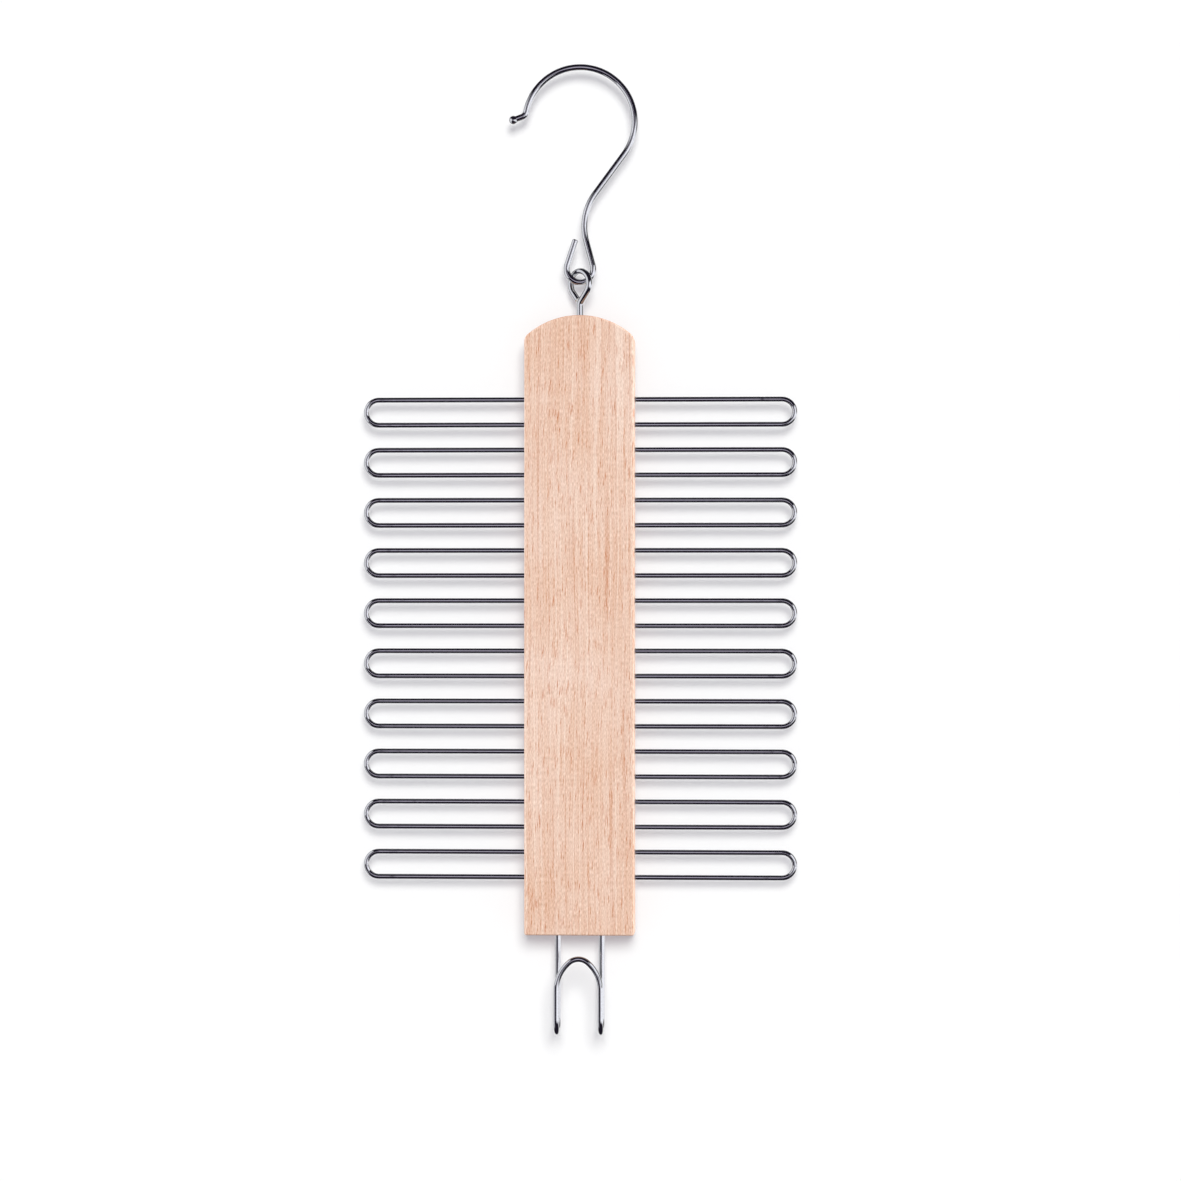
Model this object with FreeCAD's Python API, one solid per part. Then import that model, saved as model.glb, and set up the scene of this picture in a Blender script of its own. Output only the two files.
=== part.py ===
# Tie and belt hanger: a beech board with wire arms on both sides, hung from a wire hook.
# Millimetres, +Z up, +X to the right as seen from the front, -Y towards the front.
# The origin is the middle of the hook's rod bend, on the axis of the rod that it hangs from.
import FreeCAD, Part
import math
import os

from FreeCAD import Vector

# Wire diameters
hook_wire_d = 2.5
eye_wire_d = 2.5
arm_wire_d = 2.1
belt_wire_d = 2.2

# Fits: a hole is this much wider all round than its wire, and this much deeper
seat_clear = 0.05
end_clear = 0.3
link_clear = 0.25
fine_step = 0.005

# Top hook: radii at the middle of the wire, leans in degrees from upright
rod_bend_r = 21.5
neck_bend_r = 22.0
link_bend_r = 5.2
link_drop = 36.1
shank_lean = 36.5
foot_lean = 15.0
point_lean = 18.0
point_run = 10.4
point_chamfer = 0.35
tip_turn = 59.0
tip_heading = 20.0
tip_bend_r = 2.6
tip_run = 3.6
ball_d = 3.5

# Screw eye: a drop-shaped loop, turned about its upright shank
eye_bend_r = 4.9
eye_lean = 40.0
eye_foot_r = 2.6
eye_turn = 40.0
eye_shank_shown = 5.1
eye_shank_depth = 22.0
eye_point = 3.0
eye_point_share = 0.25
eye_end_gap = 0.12

# Board
board_w = 43.0
board_t = 12.0
crown_rise = 8.6
shoulder_r = 4.0
corner_r = 0.9
edge_r = 0.7

# Arms: every leg has its own blind hole, evenly spaced down both side edges
rows = 10
hole_pitch = 9.85
first_hole_drop = 32.8
last_hole_rise = 22.4
arm_reach = 63.6
arm_tang = 16.0

# Belt hook: the front arch is tighter at its top than at its sides, which meet it at a lean from upright
belt_leg_gap = 17.2
belt_arch_top_r = 5.5
belt_arch_lean = 50.0
belt_bend_r = 5.5
belt_drop = 38.1
belt_front_h = 29.4
belt_tang = 16.0

X_AXIS = Vector(1, 0, 0)
Y_AXIS = Vector(0, 1, 0)
Z_AXIS = Vector(0, 0, 1)
half_turn = 180.0


def turned(vector, axis, degrees):
    """The vector turned about an axis."""
    return FreeCAD.Rotation(axis, degrees).multVec(vector)


def bend_wire(start, heading, moves):
    """The middle line of a wire that is fed straight and bent, move by move.

    A move is (length,) for a straight feed or (radius, degrees, axis) for a bend about that axis.
    Returns the edges, and the place and heading at the end.
    """
    place = Vector(start)
    edges = []
    for move in moves:
        if len(move) == 1:
            after = place + heading * move[0]
            edges.append(Part.makeLine(place, after))
        else:
            radius, degrees, axis = move
            side = math.copysign(radius, degrees)
            centre = place + axis.cross(heading) * side
            spoke = place - centre
            middle = centre + turned(spoke, axis, degrees / 2)
            after = centre + turned(spoke, axis, degrees)
            edges.append(Part.Arc(place, middle, after).toShape())
            heading = turned(heading, axis, degrees)
        place = after
    return edges, place, heading


def round_wire(edges, heading, diameter):
    """A solid wire of round section along the edges, which start along the heading."""
    path = Part.Wire(edges)
    start = edges[0].valueAt(edges[0].FirstParameter)
    section = Part.Wire(Part.makeCircle(diameter / 2, start, heading))
    return path.makePipeShell([section], True, False)


def rod(start, axis, length, diameter):
    """A plain round bar."""
    return Part.makeCylinder(diameter / 2, length, start, axis)


def ease_end(solid, place, size):
    """Chamfers the round edge of a wire end whose middle is at the given place."""
    edge = min(solid.Edges, key=lambda e: e.CenterOfMass.distanceToPoint(place))
    return solid.makeChamfer(size, [edge])


def heading_in_front(degrees):
    """A direction in the upright plane, counted from +X towards +Z."""
    angle = math.radians(degrees)
    return Vector(math.cos(angle), 0, math.sin(angle))


def shank_runs():
    """The two straight runs of the shank that put the link bend straight below the rod bend."""
    lean, foot = math.radians(shank_lean), math.radians(foot_lean)
    upper_r, lower_r = rod_bend_r + neck_bend_r, neck_bend_r + link_bend_r
    across = lower_r * math.cos(foot) - upper_r * math.cos(lean)
    down = rod_bend_r + link_drop - upper_r * math.sin(lean) - lower_r * math.sin(foot)
    both = math.sin(lean + foot)
    upper = (down * math.sin(foot) - across * math.cos(foot)) / both
    lower = (down * math.sin(lean) + across * math.cos(lean)) / both
    return upper, lower


def link_overlap():
    """How far the eye's top is above the link bend's bottom when the hanger hangs on it.

    The loop is let down, by halving the step, until its wire clears the link bend all the way round.
    """
    least = (hook_wire_d + eye_wire_d) / 2 + link_clear
    link = Part.makeCircle(link_bend_r, Vector(), Y_AXIS)
    low, high = least, 2 * least
    while high - low > fine_step:
        middle = (low + high) / 2
        centre = Vector(0, 0, middle - link_bend_r - eye_bend_r)
        loop = Part.makeCircle(eye_bend_r, centre, turned(Y_AXIS, Z_AXIS, -eye_turn))
        if link.distToShape(loop)[0] < least:
            low = middle
        else:
            high = middle
    return high


def make_top_hook():
    """Ball tip, rod bend, leaning shank, and the link bend with its open point."""
    upper_run, lower_run = shank_runs()
    turn_up = -Y_AXIS
    rod_turn = tip_heading + tip_turn + half_turn / 2 + shank_lean
    link_turn = half_turn + foot_lean + point_lean
    tip = [(tip_run,), (tip_bend_r, tip_turn, turn_up)]
    body = [
        (rod_bend_r, -rod_turn, turn_up),
        (upper_run,),
        (neck_bend_r, shank_lean + foot_lean, turn_up),
        (lower_run,),
        (link_bend_r, -link_turn, turn_up),
        (point_run,),
    ]
    heading = heading_in_front(tip_heading)
    _, rod_start, rod_heading = bend_wire(Vector(), heading, tip)
    start = Y_AXIS.cross(rod_heading) * -rod_bend_r - rod_start
    edges, point, _ = bend_wire(start, heading, tip + body)
    hook = ease_end(round_wire(edges, heading, hook_wire_d), point, point_chamfer)
    return hook.fuse(Part.makeSphere(ball_d / 2, start)).removeSplitter()


def make_screw_eye(top):
    """Drop-shaped loop on one shank. The loop's wire end stops just short of the shank."""
    lean = math.radians(eye_lean)
    side = turned(X_AXIS, Z_AXIS, -eye_turn)
    turn_left = side.cross(Z_AXIS)
    strand = eye_bend_r / math.tan(lean)
    foot = eye_foot_r * math.tan(lean / 2)
    short = eye_wire_d / 2 / math.tan(lean) + eye_end_gap / math.sin(2 * lean)
    moves = [
        (eye_shank_shown + eye_shank_depth - eye_point - foot,),
        (eye_foot_r, -eye_lean, turn_left),
        (strand - foot,),
        (eye_bend_r, half_turn + 2 * eye_lean, turn_left),
        (strand - short,),
    ]
    start = Vector(0, 0, top - eye_shank_depth + eye_point)
    edges, _, _ = bend_wire(start, Z_AXIS, moves)
    loop = round_wire(edges, Z_AXIS, eye_wire_d)
    wire_r = eye_wire_d / 2
    point = Part.makeCone(wire_r, wire_r * eye_point_share, eye_point, start, -Z_AXIS)
    return loop.fuse(point).removeSplitter()


def make_arm(side, height):
    """Wire loop of two level legs joined by a half-round end."""
    bend_r = hole_pitch / 2
    leg = arm_tang + arm_reach - bend_r - arm_wire_d / 2
    heading = X_AXIS * side
    start = Vector(side * (board_w / 2 - arm_tang), 0, height + bend_r)
    moves = [(leg,), (bend_r, side * half_turn, Y_AXIS), (leg,)]
    edges, _, _ = bend_wire(start, heading, moves)
    return round_wire(edges, heading, arm_wire_d)


def make_belt_hook(bottom):
    """One wire: down from the board, forward and up, over the front arch, and back the same way."""
    lean = math.radians(belt_arch_lean)
    half_gap = belt_leg_gap / 2
    arch_side_r = (half_gap - belt_arch_top_r * math.cos(lean)) / (1 - math.cos(lean))
    arch_h = arch_side_r * math.sin(lean) + belt_arch_top_r * (1 - math.sin(lean))
    back_leg = belt_tang + belt_drop - belt_bend_r
    front_leg = belt_front_h - belt_bend_r - arch_h
    start = Vector(-half_gap, 0, bottom + belt_tang)
    moves = [
        (back_leg,),
        (belt_bend_r, -half_turn, X_AXIS),
        (front_leg,),
        (arch_side_r, belt_arch_lean, Y_AXIS),
        (belt_arch_top_r, half_turn - 2 * belt_arch_lean, Y_AXIS),
        (arch_side_r, belt_arch_lean, Y_AXIS),
        (front_leg,),
        (belt_bend_r, half_turn, X_AXIS),
        (back_leg,),
    ]
    edges, _, _ = bend_wire(start, -Z_AXIS, moves)
    return round_wire(edges, -Z_AXIS, belt_wire_d)


def corner_edges(board, height):
    """The sharp corners that run straight through the board's thickness at one height."""
    through = [e for e in board.Edges if e.BoundBox.YLength > board_t - fine_step]
    return [e for e in through if abs(e.CenterOfMass.z - height) < fine_step]


def make_board(top, bottom, arm_heights):
    """Round-topped board with eased edges and a blind hole for every wire end."""
    half_w, half_t = board_w / 2, board_t / 2
    shoulder = top - crown_rise
    low_left, low_right = Vector(-half_w, -half_t, bottom), Vector(half_w, -half_t, bottom)
    left, right = Vector(-half_w, -half_t, shoulder), Vector(half_w, -half_t, shoulder)
    crown = Part.Arc(right, Vector(0, -half_t, top), left).toShape()
    sides = Part.makePolygon([left, low_left, low_right, right])
    board = Part.Face(Part.Wire([crown] + sides.Edges)).extrude(Y_AXIS * board_t)
    board = board.makeFillet(shoulder_r, corner_edges(board, shoulder))
    board = board.makeFillet(corner_r, corner_edges(board, bottom))
    rims = [e for e in board.Edges if abs(abs(e.CenterOfMass.y) - half_t) < fine_step]
    board = board.makeFillet(edge_r, rims)

    holes = []
    arm_hole_d = arm_wire_d + 2 * seat_clear
    for height in arm_heights:
        for side in (-1, 1):
            for leg in (-1, 1):
                mouth = Vector(side * half_w, 0, height + leg * hole_pitch / 2)
                holes.append(rod(mouth, X_AXIS * -side, arm_tang + end_clear, arm_hole_d))
    for side in (-1, 1):
        mouth = Vector(side * belt_leg_gap / 2, 0, bottom)
        holes.append(rod(mouth, Z_AXIS, belt_tang + end_clear, belt_wire_d + 2 * seat_clear))
    eye_hole_d = eye_wire_d + 2 * seat_clear
    holes.append(rod(Vector(0, 0, top), -Z_AXIS, eye_shank_depth + end_clear, eye_hole_d))
    return board.cut(Part.makeCompound(holes))


# Heights down the hanger, from the hook's link bend to the board's bottom end
link_z = -rod_bend_r - link_drop
eye_top = link_z - link_bend_r + link_overlap()
eye_centre = eye_top - eye_bend_r
board_top = eye_centre - eye_bend_r / math.sin(math.radians(eye_lean)) - eye_shank_shown
board_bottom = board_top - first_hole_drop - (2 * rows - 1) * hole_pitch - last_hole_rise
first_row = board_top - first_hole_drop - hole_pitch / 2
row_heights = [first_row - 2 * hole_pitch * row for row in range(rows)]

nodes = {
    "top_hook": make_top_hook(),
    "screw_eye": make_screw_eye(board_top),
    "board": make_board(board_top, board_bottom, row_heights),
    "belt_hook": make_belt_hook(board_bottom),
}
for number, height in enumerate(row_heights, start=1):
    nodes[f"tie_arm_left_{number:02d}"] = make_arm(-1, height)
    nodes[f"tie_arm_right_{number:02d}"] = make_arm(1, height)

os.makedirs("parts", exist_ok=True)
for name, shape in nodes.items():
    shape.exportStep(f"parts/{name}.step")
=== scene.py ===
import math

import bmesh
import bpy
from mathutils import Matrix, Vector


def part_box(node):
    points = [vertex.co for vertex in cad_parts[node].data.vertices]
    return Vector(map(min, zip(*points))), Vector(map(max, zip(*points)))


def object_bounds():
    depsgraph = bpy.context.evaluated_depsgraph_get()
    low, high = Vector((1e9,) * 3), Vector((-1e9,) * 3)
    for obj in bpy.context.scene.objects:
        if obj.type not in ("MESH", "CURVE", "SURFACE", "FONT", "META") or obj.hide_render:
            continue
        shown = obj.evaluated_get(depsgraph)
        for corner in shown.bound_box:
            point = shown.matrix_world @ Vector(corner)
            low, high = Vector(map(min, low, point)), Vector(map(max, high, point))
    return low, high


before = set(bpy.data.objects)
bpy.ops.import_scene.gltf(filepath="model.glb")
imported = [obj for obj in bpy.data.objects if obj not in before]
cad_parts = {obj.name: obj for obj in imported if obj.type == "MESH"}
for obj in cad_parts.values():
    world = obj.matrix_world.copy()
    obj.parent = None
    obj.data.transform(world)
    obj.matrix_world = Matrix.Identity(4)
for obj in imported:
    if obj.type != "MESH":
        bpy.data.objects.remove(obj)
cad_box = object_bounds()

MM = 0.001
QUARTER_TURN = math.radians(90)

# The photograph: its width in pixels, its scale at the arms, and where the arms stand in it
PHOTO_PX = 1181
PX = 0.392 * MM
ARMS_MIDDLE_PX = 579.9
FIRST_ARM_TOP_PX = 397.0

# The camera: metres from the arms, turn to the right of the board's face, and width of its sensor
CAMERA_AWAY = 1.4
CAMERA_TURN = math.radians(3)
SENSOR_MM = 36.0

# The wall that the hanger lies against
WALL_GAP = 0.4 * MM
WALL_HALF = 0.9
WALL_WHITE = (0.82, 0.83, 0.79, 1.0)
WALL_GLOW = (0.18, 0.17, 0.215, 1.0)

# Lamps: strength as it falls on a surface that faces the lamp, and the width of the lamp's disc
KEY_DIRECTION = Vector((-0.13, 1.0, -0.45))
KEY_LEVEL = 0.66
KEY_SOFTNESS = math.radians(29)
LEFT_LEVEL = 0.45
RIGHT_LEVEL = 0.7
SIDE_SOFTNESS = math.radians(6)

# Even light from all round, where 1 is white
AMBIENT = 0.42

# Soft boxes that the wire mirrors, in metres: place to the side, front and back edge, brightness by height
BOX_WHITE = (1.02, 1.03, 1.1, 1.0)
BOX_EDGE = 0.07
SOFT_BOXES = {
    "left_high_box": (-0.45, (-0.8, 0.15), [(-0.34, 0.7), (0.16, 0.78), (0.36, 0.0)]),
    "left_low_box": (-0.45, (-0.22, 0.15), [(-0.75, 0.0), (-0.62, 0.65), (-0.34, 0.65)]),
    "right_high_box": (0.45, (-1.7, -0.08), [(-0.22, 1.0), (0.05, 1.0), (0.13, 0.0)]),
    "right_middle_box": (0.45, (-0.5, -0.08), [(-0.36, 0.0), (-0.3, 1.0), (-0.22, 1.0)]),
}

# The dark studio round the soft boxes
SURROUND_RADIUS = 3.0
SURROUND_DIVISIONS = 4
CLOTH = (0.0145, 0.012, 0.021, 1.0)

# The pale slot that the camera looks through: from no slot to full slot, in shares of the studio's radius
CAMERA_SLOT = (0.505, 0.47, 0.575, 1.0)
SLOT_HEIGHT = (0.38, 0.16)
SLOT_LEFT = (-0.16, -0.13)
SLOT_RIGHT = (0.05, 0.02)
SLOT_FRONT = (-0.5, -0.7)

# The low window far to the right, and the white behind the hanger, in the same way
WINDOW_BOTTOM = (-0.5, -0.2)
WINDOW_TOP = (0.1, -0.14)
WINDOW_LEFT = (0.17, 0.22)
BACK_EDGE = (0.45, 0.65)
BACK_LEVEL = 0.9


def srgb(red, green, blue):
    """A colour written as 0 to 255 screen values, made linear."""
    linear = []
    for value in (red, green, blue):
        share = value / 255
        linear.append(share / 12.92 if share <= 0.04045 else ((share + 0.055) / 1.055) ** 2.4)
    return (*linear, 1.0)


def grey(level):
    """A neutral linear colour."""
    return (level, level, level, 1.0)


# Beech colours: the grain from dark to pale, the flecks, the brown of lines and ends, and the palest wood
BEECH_TONES = [(0.1, srgb(229, 185, 158)), (0.5, srgb(236, 201, 180)), (0.9, srgb(243, 215, 200))]
BEECH_FLECK = srgb(200, 120, 74)
BEECH_BROWN = srgb(198, 127, 88)
BEECH_PALE = srgb(248, 223, 207)

# Growth rings: the pith's place and the width of a ring in millimetres, and the shade across a ring
PITH_LEFT = 60.0
PITH_BEHIND = 100.0
RING_WIDTH = 2.6
RING_SHADES = [(0.45, grey(0.0)), (0.93, grey(1.0)), (1.0, grey(0.0))]

# Beech patterns: cells per millimetre, across and along the board
SWAY_CELLS = (0.05, 0.012)
RIPPLE_CELLS = (0.5, 0.1)
CLOUD_CELLS = (0.03, 0.03)
BAND_CELLS = (0.16, 0.006)
LINE_CELLS = (2.2, 0.014)
FIBRE_CELLS = (4.0, 0.7)
PORE_CELLS = (4.0, 4.0)
DARK_LINE_CELLS = (1.6, 0.01)
PALE_LINE_CELLS = (1.0, 0.005)
DARK_FLECK_CELLS = (3.0, 0.15)
PALE_FLECK_CELLS = (2.2, 0.045)

# Ray flecks: cells per millimetre through the board, then size in cells and share of the cells left bare
DARK_FLECK_DEEP = 1.0
DARK_FLECKS = (0.46, 0.36)
PALE_FLECK_DEEP = 0.3
PALE_FLECKS = (0.4, 0.45)

# The share of a fleck's size that has its full strength
FLECK_CORE = 0.4

# How far the grain sways and ripples, in millimetres, and how far the flecks lean per millimetre of height
SWAY_WIDTH = 4.0
RIPPLE_WIDTH = 0.6
FLECK_SLANT = -0.04

# How much each pattern shows in the wood's colour
TONE_START = -0.93
CLOUD_WEIGHT = 1.0
BAND_WEIGHT = 0.2
LINE_WEIGHT = 1.7
RING_WEIGHT = -0.05
DARK_LINE_EDGE = (0.6, 0.74)
DARK_LINE_SHARE = 0.35
PALE_LINE_EDGE = (0.54, 0.68)
PALE_LINE_SHARE = 0.7
PALE_FLECK_SHARE = 0.25
FIBRE_CONTRAST = 0.31

# End grain: how far up or down a surface has to face, and how brown it is, evenly and by its rings and pores
END_GRAIN_EDGE = (0.45, 0.9)
END_BROWN = 0.1
END_RING_BROWN = 0.4
END_PORE_BROWN = 0.4

# The board's finish: roughness, relief of its patterns, and the bump's depth and strength
WOOD_ROUGHNESS = 0.46
FIBRE_ROUGHNESS = 0.16
END_ROUGHNESS = 0.1
FIBRE_HEIGHT = 0.6
FLECK_HEIGHT = -0.6
WOOD_BUMP = (0.15 * MM, 0.25)
WOOD_SPECULAR = 0.35

# The wire's finish: cells per millimetre, tones and roughness of the haze, and the bump's depth and strength
WAVE_CELLS = (0.22, 0.22)
HAZE_CELLS = (1.6, 1.6)
HAZE_TONES = [(0.3, grey(0.74)), (0.6, (0.82, 0.825, 0.84, 1.0))]
HAZE_ROUGHNESS = 0.07
CHROME_ROUGHNESS = 0.02
CHROME_BUMP = (0.3 * MM, 0.12)


def add(tree, kind, inputs=None, **settings):
    """Adds a node, with its settings and the values or links of its inputs."""
    node = tree.nodes.new(kind)
    for name, value in settings.items():
        setattr(node, name, value)
    for name, value in (inputs or {}).items():
        if isinstance(value, bpy.types.NodeSocket):
            tree.links.new(value, node.inputs[name])
        else:
            node.inputs[name].default_value = value
    return node


def ramp(tree, factor, stops):
    """A colour ramp over (place, colour) stops."""
    node = add(tree, "ShaderNodeValToRGB", {"Fac": factor})
    elements = node.color_ramp.elements
    while len(elements) < len(stops):
        elements.new(0.5)
    for element, (place, colour) in zip(elements, stops):
        element.position = place
        element.color = colour
    return node.outputs["Color"]


def step(tree, value, none, full):
    """A smooth mask from 0 at one value to 1 at the other, whichever of them is higher."""
    inputs = {"Value": value, "From Min": none, "From Max": full}
    return add(tree, "ShaderNodeMapRange", inputs, interpolation_type="SMOOTHSTEP").outputs["Result"]


def maths(tree, operation, first, second=0.0):
    """One sum on two values."""
    return add(tree, "ShaderNodeMath", {0: first, 1: second}, operation=operation).outputs[0]


def blend(tree, mask, below, above, mode="MIX"):
    """Mixes two colours by a mask."""
    node = add(tree, "ShaderNodeMix", {"Factor": mask}, data_type="RGBA", blend_type=mode)
    for socket, value in ((node.inputs[6], below), (node.inputs[7], above)):
        if isinstance(value, bpy.types.NodeSocket):
            tree.links.new(value, socket)
        else:
            socket.default_value = value
    return node.outputs[2]


def new_group(name):
    """A node group for a finish. Returns it and its Object coordinates in millimetres."""
    group = bpy.data.node_groups.new(name, "ShaderNodeTree")
    group.interface.new_socket("Color", in_out="OUTPUT", socket_type="NodeSocketColor")
    group.interface.new_socket("Roughness", in_out="OUTPUT", socket_type="NodeSocketFloat")
    group.interface.new_socket("Height", in_out="OUTPUT", socket_type="NodeSocketFloat")
    place = add(group, "ShaderNodeTexCoord").outputs["Object"]
    millimetres = add(group, "ShaderNodeMapping", {"Vector": place, "Scale": (1 / MM,) * 3})
    return group, millimetres.outputs["Vector"]


def put_out(group, colour, roughness, height):
    """Links what the finish has worked out to its group's outputs."""
    add(group, "NodeGroupOutput", {"Color": colour, "Roughness": roughness, "Height": height})


def stretched(tree, vector, across, along, shift=0.0, deep=None):
    """Coordinates in cells across, along and through the board, moved so that no two patterns agree."""
    cells = (across, deep or across, along)
    inputs = {"Vector": vector, "Scale": cells, "Location": (shift, shift, shift)}
    return add(tree, "ShaderNodeMapping", inputs).outputs["Vector"]


def noise(tree, vector, detail=1.0, roughness=0.5):
    """Noise of one cell per unit of the vector, about 0.5 on average."""
    inputs = {"Vector": vector, "Scale": 1.0, "Detail": detail, "Roughness": roughness}
    return add(tree, "ShaderNodeTexNoise", inputs).outputs["Fac"]


def flecks(tree, vector, size, bare):
    """A mask of spindle-shaped flecks, at most one to a cell, each of its own strength."""
    cells = add(tree, "ShaderNodeTexVoronoi", {"Vector": vector, "Scale": 1.0, "Randomness": 1.0})
    shape = step(tree, cells.outputs["Distance"], size, FLECK_CORE * size)
    draw = add(tree, "ShaderNodeSeparateColor", {"Color": cells.outputs["Color"]}).outputs["Red"]
    return maths(tree, "MULTIPLY", shape, step(tree, draw, bare, 1.0))


def moved(tree, vector, shift):
    """Coordinates moved across the grain by a value that changes over the board."""
    bend = add(tree, "ShaderNodeCombineXYZ", {"X": shift})
    return add(tree, "ShaderNodeVectorMath", {0: vector, 1: bend.outputs[0]}, operation="ADD").outputs[0]


def weigh(tree, start, parts):
    """The start value with each part added by its own weight."""
    total = start
    for value, weight in parts:
        total = maths(tree, "ADD", total, maths(tree, "MULTIPLY", value, weight))
    return total


def growth_rings(tree, vector):
    """Thin dark lines where the growth rings round a far-off pith meet the surface."""
    axes = add(tree, "ShaderNodeSeparateXYZ", {0: vector})
    across = maths(tree, "ADD", axes.outputs["X"], PITH_LEFT)
    back = maths(tree, "SUBTRACT", axes.outputs["Y"], PITH_BEHIND)
    squares = maths(tree, "ADD", maths(tree, "POWER", across, 2.0), maths(tree, "POWER", back, 2.0))
    from_pith = maths(tree, "POWER", squares, 0.5)
    ring = maths(tree, "FRACT", maths(tree, "DIVIDE", from_pith, RING_WIDTH))
    return ramp(tree, ring, RING_SHADES)


def beech_group():
    """Steamed beech: clouds, bands, rings, long lines, fibres and ray flecks, with browner end grain."""
    group, place = new_group("beech")
    sway = noise(group, stretched(group, place, *SWAY_CELLS))
    grain = moved(group, place, maths(group, "MULTIPLY", sway, SWAY_WIDTH))
    ripple = noise(group, stretched(group, place, *RIPPLE_CELLS, shift=5.0))
    along = add(group, "ShaderNodeSeparateXYZ", {0: place}).outputs["Z"]
    lean = weigh(group, 0.0, [(ripple, RIPPLE_WIDTH), (along, FLECK_SLANT)])
    slanted = moved(group, grain, lean)

    cloud = noise(group, stretched(group, place, *CLOUD_CELLS, shift=11.0), detail=2.0)
    band = noise(group, stretched(group, grain, *BAND_CELLS, shift=3.0))
    line = noise(group, stretched(group, grain, *LINE_CELLS, shift=40.0), detail=2.0, roughness=0.8)
    fibre = noise(group, stretched(group, slanted, *FIBRE_CELLS, shift=7.0))
    pores = noise(group, stretched(group, place, *PORE_CELLS, shift=31.0))
    ring = growth_rings(group, grain)
    dark_noise = noise(group, stretched(group, grain, *DARK_LINE_CELLS, shift=61.0))
    dark_line = step(group, dark_noise, *DARK_LINE_EDGE)
    pale_noise = noise(group, stretched(group, grain, *PALE_LINE_CELLS, shift=83.0))
    pale_line = step(group, pale_noise, *PALE_LINE_EDGE)
    dark_cells = stretched(group, slanted, *DARK_FLECK_CELLS, deep=DARK_FLECK_DEEP)
    dark_fleck = flecks(group, dark_cells, *DARK_FLECKS)
    pale_cells = stretched(group, grain, *PALE_FLECK_CELLS, shift=13.0, deep=PALE_FLECK_DEEP)
    pale_fleck = flecks(group, pale_cells, *PALE_FLECKS)

    parts = [(cloud, CLOUD_WEIGHT), (band, BAND_WEIGHT), (line, LINE_WEIGHT), (ring, RING_WEIGHT)]
    colour = ramp(group, weigh(group, TONE_START, parts), BEECH_TONES)
    tints = (
        (pale_line, PALE_LINE_SHARE, BEECH_PALE),
        (dark_line, DARK_LINE_SHARE, BEECH_BROWN),
        (pale_fleck, PALE_FLECK_SHARE, BEECH_PALE),
    )
    for mask, share, tint in tints:
        colour = blend(group, maths(group, "MULTIPLY", mask, share), colour, tint)
    colour = blend(group, dark_fleck, colour, BEECH_FLECK)
    colour = blend(group, FIBRE_CONTRAST, colour, fibre, "LINEAR_LIGHT")

    normal = add(group, "ShaderNodeTexCoord").outputs["Normal"]
    upright = maths(group, "ABSOLUTE", add(group, "ShaderNodeSeparateXYZ", {0: normal}).outputs["Z"])
    end_grain = step(group, upright, *END_GRAIN_EDGE)
    browned = weigh(group, END_BROWN, [(ring, END_RING_BROWN), (pores, END_PORE_BROWN)])
    colour = blend(group, maths(group, "MULTIPLY", end_grain, browned), colour, BEECH_BROWN)

    roughness = weigh(group, WOOD_ROUGHNESS, [(fibre, FIBRE_ROUGHNESS), (end_grain, END_ROUGHNESS)])
    height = weigh(group, 0.0, [(fibre, FIBRE_HEIGHT), (dark_fleck, FLECK_HEIGHT)])
    put_out(group, colour, roughness, height)
    return group


def plating_group():
    """Bright plating on drawn wire: a slow wave in the surface, a fine haze and a faint change of tone."""
    group, place = new_group("plating")
    wave = noise(group, stretched(group, place, *WAVE_CELLS))
    haze = noise(group, stretched(group, place, *HAZE_CELLS, shift=21.0), detail=3.0, roughness=0.6)
    colour = ramp(group, haze, HAZE_TONES)
    roughness = maths(group, "ADD", maths(group, "MULTIPLY", haze, HAZE_ROUGHNESS), CHROME_ROUGHNESS)
    put_out(group, colour, roughness, wave)
    return group


def finish_material(name, group, depth, strength):
    """A material whose colour, roughness and relief come from one group."""
    material = bpy.data.materials.new(name)
    material.use_nodes = True
    tree = material.node_tree
    shader = tree.nodes["Principled BSDF"]
    effect = add(tree, "ShaderNodeGroup", node_tree=group)
    bump = {"Height": effect.outputs["Height"], "Distance": depth, "Strength": strength}
    relief = add(tree, "ShaderNodeBump", bump)
    tree.links.new(effect.outputs["Color"], shader.inputs["Base Color"])
    tree.links.new(effect.outputs["Roughness"], shader.inputs["Roughness"])
    tree.links.new(relief.outputs["Normal"], shader.inputs["Normal"])
    return material, shader


def beech_wood():
    """Fine sanded beech under a thin matt finish."""
    material, shader = finish_material("beech", beech_group(), *WOOD_BUMP)
    shader.inputs["Specular IOR Level"].default_value = WOOD_SPECULAR
    return material


def chrome_plate():
    """Bright chrome on steel wire."""
    material, shader = finish_material("chrome_wire", plating_group(), *CHROME_BUMP)
    shader.inputs["Metallic"].default_value = 1.0
    return material


def new_object(name, mesh, material):
    """A scene object for a finished bmesh."""
    data = bpy.data.meshes.new(name)
    mesh.to_mesh(data)
    mesh.free()
    data.materials.append(material)
    thing = bpy.data.objects.new(name, data)
    bpy.context.scene.collection.objects.link(thing)
    return thing


def emptied(name):
    """A new material with only its output node."""
    material = bpy.data.materials.new(name)
    material.use_nodes = True
    tree = material.node_tree
    tree.nodes.remove(tree.nodes["Principled BSDF"])
    return material, tree, tree.nodes["Material Output"]


def mirrored_only(thing):
    """Lets a stage object show in reflections and nowhere else."""
    thing.visible_camera = False
    thing.visible_diffuse = False
    thing.visible_shadow = False
    thing.visible_transmission = False


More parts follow.
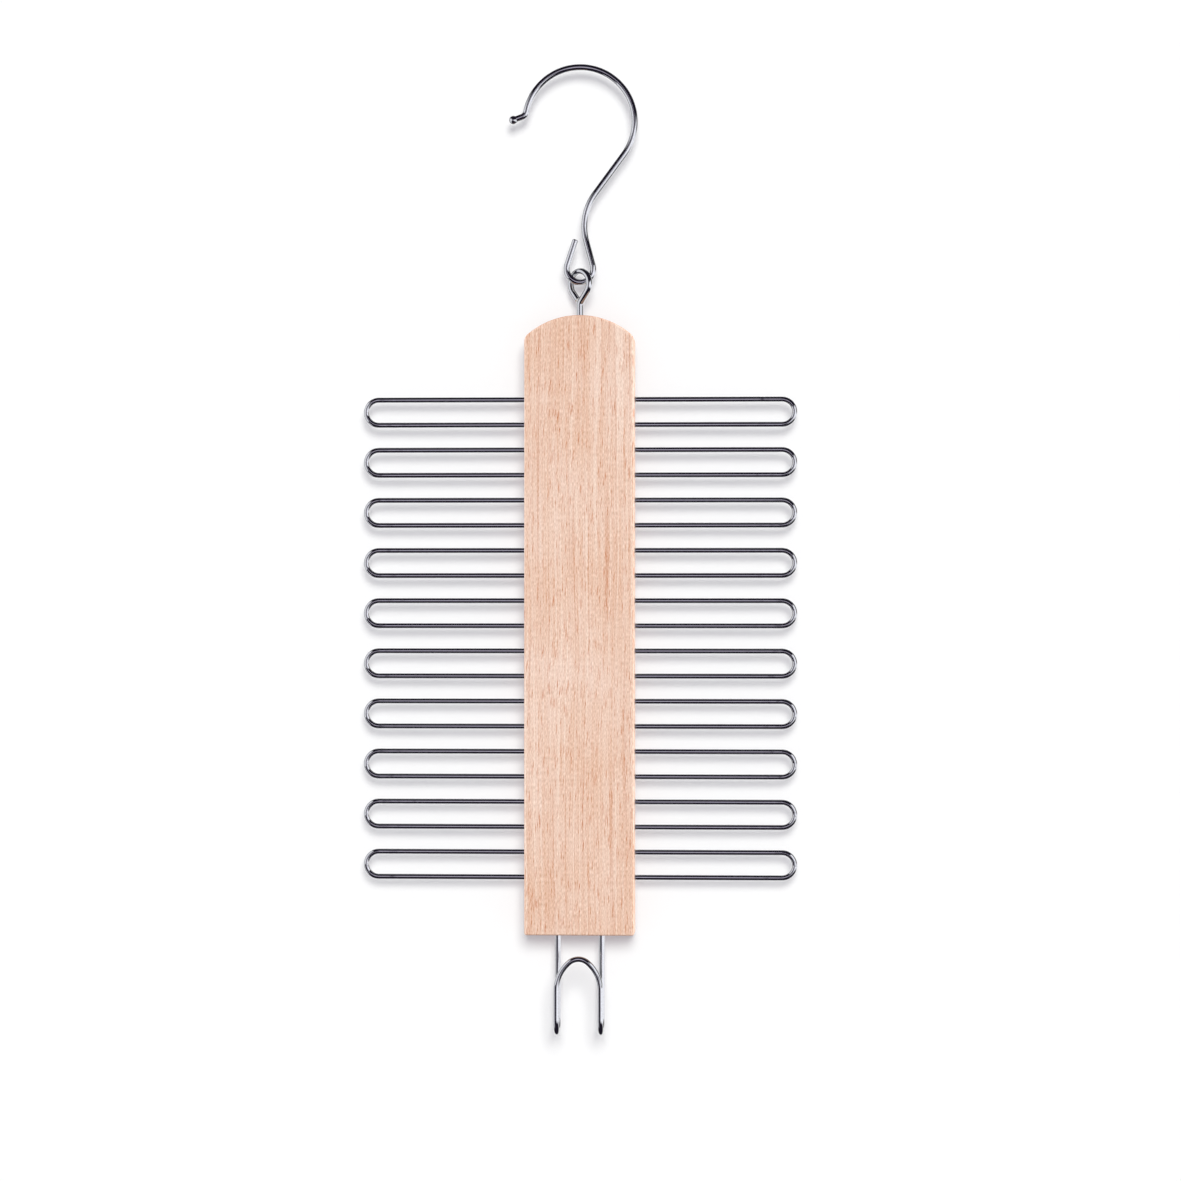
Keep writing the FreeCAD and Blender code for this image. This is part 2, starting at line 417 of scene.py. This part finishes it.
def make_wall(middle, back):
    """The white surface behind the hanger. It takes the shadow and shows only from the front."""
    material, tree, output = emptied("white_wall")
    lit = add(tree, "ShaderNodeBsdfDiffuse", {"Color": WALL_WHITE})
    glow = add(tree, "ShaderNodeEmission", {"Color": WALL_GLOW})
    front = add(tree, "ShaderNodeAddShader", {0: lit.outputs[0], 1: glow.outputs[0]})
    away = add(tree, "ShaderNodeBsdfTransparent")
    side = add(tree, "ShaderNodeNewGeometry").outputs["Backfacing"]
    both = add(tree, "ShaderNodeMixShader", {0: side, 1: front.outputs[0], 2: away.outputs[0]})
    tree.links.new(both.outputs[0], output.inputs["Surface"])
    mesh = bmesh.new()
    foot = Matrix.Translation((middle.x, back + WALL_GAP, middle.z))
    stand = foot @ Matrix.Rotation(QUARTER_TURN, 4, "X")
    bmesh.ops.create_grid(mesh, x_segments=1, y_segments=1, size=WALL_HALF, matrix=stand)
    wall = new_object("wall", mesh, material)
    wall.visible_diffuse = False
    wall.visible_glossy = False
    wall.visible_shadow = False


def make_surround(middle):
    """The dark studio that the wire mirrors: a pale slot at the camera, a low window, and white behind."""
    material, tree, output = emptied("studio_surround")
    place = add(tree, "ShaderNodeTexCoord").outputs["Object"]
    way = add(tree, "ShaderNodeVectorMath", {0: place}, operation="NORMALIZE").outputs[0]
    axes = add(tree, "ShaderNodeSeparateXYZ", {0: way})
    across, away, up = axes.outputs["X"], axes.outputs["Y"], axes.outputs["Z"]
    upright = step(tree, maths(tree, "ABSOLUTE", up), *SLOT_HEIGHT)
    beside = maths(tree, "MULTIPLY", step(tree, across, *SLOT_LEFT), step(tree, across, *SLOT_RIGHT))
    facing = step(tree, away, *SLOT_FRONT)
    slot = maths(tree, "MULTIPLY", maths(tree, "MULTIPLY", upright, beside), facing)
    front = blend(tree, slot, CLOTH, CAMERA_SLOT)
    low = maths(tree, "MULTIPLY", step(tree, up, *WINDOW_BOTTOM), step(tree, up, *WINDOW_TOP))
    window = maths(tree, "MULTIPLY", low, step(tree, across, *WINDOW_LEFT))
    front = blend(tree, window, front, BOX_WHITE)
    seen = blend(tree, step(tree, away, *BACK_EDGE), front, grey(BACK_LEVEL))
    glow = add(tree, "ShaderNodeEmission", {"Color": seen})
    tree.links.new(glow.outputs[0], output.inputs["Surface"])
    mesh = bmesh.new()
    bmesh.ops.create_icosphere(mesh, subdivisions=SURROUND_DIVISIONS, radius=SURROUND_RADIUS)
    dome = new_object("studio_surround", mesh, material)
    dome.location = middle
    mirrored_only(dome)


def make_soft_box(name, away, depth, levels):
    """An upright soft box beside the hanger, dimmer towards its front and back edges."""
    front, back = depth
    low, high = levels[0][0], levels[-1][0]
    half_tall, half_deep = (high - low) / 2, (back - front) / 2
    material, tree, output = emptied(name)
    place = add(tree, "ShaderNodeTexCoord").outputs["Object"]
    axes = add(tree, "ShaderNodeSeparateXYZ", {0: place})
    height_range = {"Value": axes.outputs["Z"], "From Min": -half_tall, "From Max": half_tall}
    share = add(tree, "ShaderNodeMapRange", height_range).outputs["Result"]
    stops = []
    for height, level in levels:
        stops.append(((height - low) / (high - low), [level * part for part in BOX_WHITE]))
    lit = ramp(tree, share, stops)
    inside = step(tree, maths(tree, "ABSOLUTE", axes.outputs["Y"]), half_deep, half_deep - BOX_EDGE)
    glow = add(tree, "ShaderNodeEmission", {"Color": blend(tree, inside, CLOTH, lit)})
    tree.links.new(glow.outputs[0], output.inputs["Surface"])
    mesh = bmesh.new()
    stand = Matrix.Rotation(QUARTER_TURN, 4, "Y") @ Matrix.Diagonal((half_tall, half_deep, 1, 1))
    bmesh.ops.create_grid(mesh, x_segments=1, y_segments=1, size=1, matrix=stand)
    panel = new_object(name, mesh, material)
    panel.location = (away, (front + back) / 2, (low + high) / 2)
    mirrored_only(panel)


def make_lamp(name, direction, level, softness):
    """A broad soft lamp shining along the direction. Only its direct light counts."""
    lamp = bpy.data.lights.new(name, "SUN")
    lamp.energy = level * math.pi
    lamp.angle = softness
    lamp.cycles.max_bounces = 0
    stand = bpy.data.objects.new(name, lamp)
    stand.rotation_mode = "QUATERNION"
    stand.rotation_quaternion = direction.to_track_quat("-Z", "Y")
    stand.visible_glossy = False
    bpy.context.scene.collection.objects.link(stand)


def make_world():
    """Even light all round, and a white background for the eye and for mirrors."""
    world = bpy.data.worlds.new("white_room")
    world.use_nodes = True
    tree = world.node_tree
    light = add(tree, "ShaderNodeLightPath")
    shown = light.outputs["Is Camera Ray"]
    for ray in ("Is Glossy Ray", "Is Transmission Ray"):
        shown = maths(tree, "MAXIMUM", shown, light.outputs[ray])
    strength = add(tree, "ShaderNodeMapRange", {"Value": shown, "To Min": AMBIENT, "To Max": 1.0})
    background = tree.nodes["Background"]
    background.inputs["Color"].default_value = grey(1.0)
    tree.links.new(strength.outputs["Result"], background.inputs["Strength"])
    bpy.context.scene.world = world


def make_camera(arms_top):
    """At the board's face, a little to its right, framed as in the photograph."""
    centre_px = PHOTO_PX / 2
    camera = bpy.data.cameras.new("camera")
    camera.sensor_width = SENSOR_MM
    camera.lens = SENSOR_MM * CAMERA_AWAY / (PHOTO_PX * PX)
    stand = bpy.data.objects.new("camera", camera)
    across = (centre_px - ARMS_MIDDLE_PX) * PX
    aim = Vector((across, 0, arms_top - (centre_px - FIRST_ARM_TOP_PX) * PX))
    stand.location = aim + CAMERA_AWAY * Vector((math.sin(CAMERA_TURN), -math.cos(CAMERA_TURN), 0))
    stand.rotation_euler = (QUARTER_TURN, 0, CAMERA_TURN)
    bpy.context.scene.collection.objects.link(stand)
    bpy.context.scene.camera = stand


beech, chrome = beech_wood(), chrome_plate()
for name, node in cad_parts.items():
    node.material_slots[0].material = beech if name == "board" else chrome

middle = (cad_box[0] + cad_box[1]) / 2
make_wall(middle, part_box("board")[1].y)
make_surround(middle)
for name, (away, depth, levels) in SOFT_BOXES.items():
    make_soft_box(name, away, depth, levels)
make_lamp("key_lamp", KEY_DIRECTION, KEY_LEVEL, KEY_SOFTNESS)
make_lamp("back_lamp", KEY_DIRECTION * Vector((1, -1, 1)), KEY_LEVEL, KEY_SOFTNESS)
make_lamp("left_lamp", Vector((1, 0, 0)), LEFT_LEVEL, SIDE_SOFTNESS)
make_lamp("right_lamp", Vector((-1, 0, 0)), RIGHT_LEVEL, SIDE_SOFTNESS)
make_world()
make_camera(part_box("tie_arm_left_01")[1].z)
bpy.context.scene.view_settings.view_transform = "Standard"
